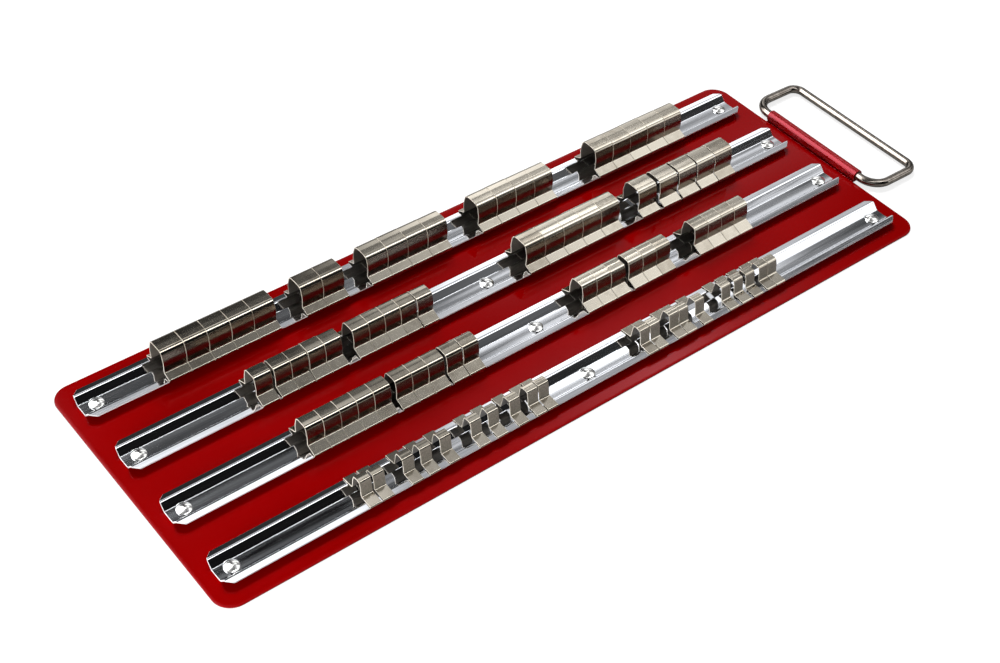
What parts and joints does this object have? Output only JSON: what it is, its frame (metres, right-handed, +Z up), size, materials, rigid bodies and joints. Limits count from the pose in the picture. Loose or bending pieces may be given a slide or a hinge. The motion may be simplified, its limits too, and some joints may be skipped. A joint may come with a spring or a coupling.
{
  "type": "socket organizer tray",
  "caption": "Painted sheet-metal tray with chromed rails, sliding spring clips for sockets of different square drives, and a swinging wire handle.",
  "frame": {"origin": "centre of the tray sheet's underside", "axes": "+X along the rails towards the wire handle, +Y across the rails towards the half-inch row, +Z up out of the tray"},
  "size_m": [0.4702, 0.159, 0.0203],
  "materials": {
    "red_paint": "gloss red enamel on sheet steel",
    "rail_chrome": "bright chrome plate",
    "rivet_chrome": "bright chrome plate",
    "handle_chrome": "bright chrome plate",
    "nickel_spring_steel": "fine-grained nickel plate on spring steel"
  },
  "bodies": {
    "tray_with_rails": {"tray": "red_paint", "rail_1": "rail_chrome", "rail_2": "rail_chrome", "rail_3": "rail_chrome", "rail_4": "rail_chrome", "rivets_rail_1": "rivet_chrome", "rivets_rail_2": "rivet_chrome", "rivets_rail_3": "rivet_chrome", "rivets_rail_4": "rivet_chrome"},
    "handle": {"handle": "handle_chrome"},
    "rail_1_run_1": {"half_clip_1": "nickel_spring_steel", "half_clip_2": "nickel_spring_steel", "half_clip_3": "nickel_spring_steel", "half_clip_4": "nickel_spring_steel", "half_clip_5": "nickel_spring_steel"},
    "rail_1_run_2": {"half_clip_6": "nickel_spring_steel", "half_clip_7": "nickel_spring_steel"},
    "rail_1_run_3": {"half_clip_8": "nickel_spring_steel", "half_clip_9": "nickel_spring_steel", "half_clip_10": "nickel_spring_steel", "half_clip_11": "nickel_spring_steel"},
    "rail_1_run_4": {"half_clip_12": "nickel_spring_steel", "half_clip_13": "nickel_spring_steel", "half_clip_14": "nickel_spring_steel", "half_clip_15": "nickel_spring_steel"},
    "rail_1_run_5": {"half_clip_16": "nickel_spring_steel", "half_clip_17": "nickel_spring_steel", "half_clip_18": "nickel_spring_steel", "half_clip_19": "nickel_spring_steel", "half_clip_20": "nickel_spring_steel"},
    "rail_2_run_1": {"clips_rail_2_run_1": "nickel_spring_steel"},
    "rail_2_run_2": {"clips_rail_2_run_2": "nickel_spring_steel"},
    "rail_2_run_3": {"clips_rail_2_run_3": "nickel_spring_steel"},
    "rail_2_run_4": {"clips_rail_2_run_4": "nickel_spring_steel"},
    "rail_3_run_1": {"clips_rail_3_run_1": "nickel_spring_steel"},
    "rail_3_run_2": {"clips_rail_3_run_2": "nickel_spring_steel"},
    "rail_3_run_3": {"clips_rail_3_run_3": "nickel_spring_steel"},
    "rail_3_run_4": {"clips_rail_3_run_4": "nickel_spring_steel"},
    "rail_4_run_1": {"quarter_clip_1": "nickel_spring_steel", "quarter_clip_2": "nickel_spring_steel"},
    "rail_4_run_2": {"quarter_clip_3": "nickel_spring_steel"},
    "rail_4_run_3": {"quarter_clip_4": "nickel_spring_steel"},
    "rail_4_run_4": {"quarter_clip_5": "nickel_spring_steel"},
    "rail_4_run_5": {"quarter_clip_6": "nickel_spring_steel"},
    "rail_4_run_6": {"quarter_clip_7": "nickel_spring_steel"},
    "rail_4_run_7": {"quarter_clip_8": "nickel_spring_steel"},
    "rail_4_run_8": {"quarter_clip_9": "nickel_spring_steel", "quarter_clip_10": "nickel_spring_steel"},
    "rail_4_run_9": {"quarter_clip_11": "nickel_spring_steel", "quarter_clip_12": "nickel_spring_steel"},
    "rail_4_run_10": {"quarter_clip_13": "nickel_spring_steel", "quarter_clip_14": "nickel_spring_steel"},
    "rail_4_run_11": {"quarter_clip_15": "nickel_spring_steel"},
    "rail_4_run_12": {"quarter_clip_16": "nickel_spring_steel"},
    "rail_4_run_13": {"quarter_clip_17": "nickel_spring_steel"},
    "rail_4_run_14": {"quarter_clip_18": "nickel_spring_steel"},
    "rail_4_run_15": {"quarter_clip_19": "nickel_spring_steel", "quarter_clip_20": "nickel_spring_steel"}
  },
  "joints": [
    {"name": "handle_swing", "type": "hinge", "parent": "tray_with_rails", "child": "handle", "pos_m": [0.2193, 0.003, 0.00335], "axis": [0, -1, 0], "range_deg": [-88, 140]},
    {"name": "rail_1_run_1_slide", "type": "slide", "parent": "tray_with_rails", "child": "rail_1_run_1", "axis": [1, 0, 0], "range_m": [-0.0409, 0.0074]},
    {"name": "rail_1_run_2_slide", "type": "slide", "parent": "tray_with_rails", "child": "rail_1_run_2", "axis": [1, 0, 0], "range_m": [-0.0074, 0.0069]},
    {"name": "rail_1_run_3_slide", "type": "slide", "parent": "tray_with_rails", "child": "rail_1_run_3", "axis": [1, 0, 0], "range_m": [-0.0069, 0.0099]},
    {"name": "rail_1_run_4_slide", "type": "slide", "parent": "tray_with_rails", "child": "rail_1_run_4", "axis": [1, 0, 0], "range_m": [-0.0099, 0.0149]},
    {"name": "rail_1_run_5_slide", "type": "slide", "parent": "tray_with_rails", "child": "rail_1_run_5", "axis": [1, 0, 0], "range_m": [-0.0149, 0.0449]},
    {"name": "rail_2_run_1_slide", "type": "slide", "parent": "tray_with_rails", "child": "rail_2_run_1", "axis": [1, 0, 0], "range_m": [-0.0677, 0.0031]},
    {"name": "rail_2_run_2_slide", "type": "slide", "parent": "tray_with_rails", "child": "rail_2_run_2", "axis": [1, 0, 0], "range_m": [-0.0031, 0.0288]},
    {"name": "rail_2_run_3_slide", "type": "slide", "parent": "tray_with_rails", "child": "rail_2_run_3", "axis": [1, 0, 0], "range_m": [-0.0288, 0.0067]},
    {"name": "rail_2_run_4_slide", "type": "slide", "parent": "tray_with_rails", "child": "rail_2_run_4", "axis": [1, 0, 0], "range_m": [-0.0067, 0.0437]},
    {"name": "rail_3_run_1_slide", "type": "slide", "parent": "tray_with_rails", "child": "rail_3_run_1", "axis": [1, 0, 0], "range_m": [-0.0699, 0.0013]},
    {"name": "rail_3_run_2_slide", "type": "slide", "parent": "tray_with_rails", "child": "rail_3_run_2", "axis": [1, 0, 0], "range_m": [-0.0013, 0.0324]},
    {"name": "rail_3_run_3_slide", "type": "slide", "parent": "tray_with_rails", "child": "rail_3_run_3", "axis": [1, 0, 0], "range_m": [-0.0324, 0.0085]},
    {"name": "rail_3_run_4_slide", "type": "slide", "parent": "tray_with_rails", "child": "rail_3_run_4", "axis": [1, 0, 0], "range_m": [-0.0085, 0.0692]},
    {"name": "rail_4_run_1_slide", "type": "slide", "parent": "tray_with_rails", "child": "rail_4_run_1", "axis": [1, 0, 0], "range_m": [-0.0729, 0.0048]},
    {"name": "rail_4_run_2_slide", "type": "slide", "parent": "tray_with_rails", "child": "rail_4_run_2", "axis": [1, 0, 0], "range_m": [-0.0048, 0.0017]},
    {"name": "rail_4_run_3_slide", "type": "slide", "parent": "tray_with_rails", "child": "rail_4_run_3", "axis": [1, 0, 0], "range_m": [-0.0017, 0.0024]},
    {"name": "rail_4_run_4_slide", "type": "slide", "parent": "tray_with_rails", "child": "rail_4_run_4", "axis": [1, 0, 0], "range_m": [-0.0024, 0.0055]},
    {"name": "rail_4_run_5_slide", "type": "slide", "parent": "tray_with_rails", "child": "rail_4_run_5", "axis": [1, 0, 0], "range_m": [-0.0055, 0.0019]},
    {"name": "rail_4_run_6_slide", "type": "slide", "parent": "tray_with_rails", "child": "rail_4_run_6", "axis": [1, 0, 0], "range_m": [-0.0019, 0.0031]},
    {"name": "rail_4_run_7_slide", "type": "slide", "parent": "tray_with_rails", "child": "rail_4_run_7", "axis": [1, 0, 0], "range_m": [-0.0031, 0.0022]},
    {"name": "rail_4_run_8_slide", "type": "slide", "parent": "tray_with_rails", "child": "rail_4_run_8", "axis": [1, 0, 0], "range_m": [-0.0022, 0.0287]},
    {"name": "rail_4_run_9_slide", "type": "slide", "parent": "tray_with_rails", "child": "rail_4_run_9", "axis": [1, 0, 0], "range_m": [-0.0287, 0.0031]},
    {"name": "rail_4_run_10_slide", "type": "slide", "parent": "tray_with_rails", "child": "rail_4_run_10", "axis": [1, 0, 0], "range_m": [-0.0031, 0.0022]},
    {"name": "rail_4_run_11_slide", "type": "slide", "parent": "tray_with_rails", "child": "rail_4_run_11", "axis": [1, 0, 0], "range_m": [-0.0022, 0.0059]},
    {"name": "rail_4_run_12_slide", "type": "slide", "parent": "tray_with_rails", "child": "rail_4_run_12", "axis": [1, 0, 0], "range_m": [-0.0059, 0.0011]},
    {"name": "rail_4_run_13_slide", "type": "slide", "parent": "tray_with_rails", "child": "rail_4_run_13", "axis": [1, 0, 0], "range_m": [-0.0011, 0.0009]},
    {"name": "rail_4_run_14_slide", "type": "slide", "parent": "tray_with_rails", "child": "rail_4_run_14", "axis": [1, 0, 0], "range_m": [-0.0009, 0.0014]},
    {"name": "rail_4_run_15_slide", "type": "slide", "parent": "tray_with_rails", "child": "rail_4_run_15", "axis": [1, 0, 0], "range_m": [-0.0014, 0.0846]}
  ]
}
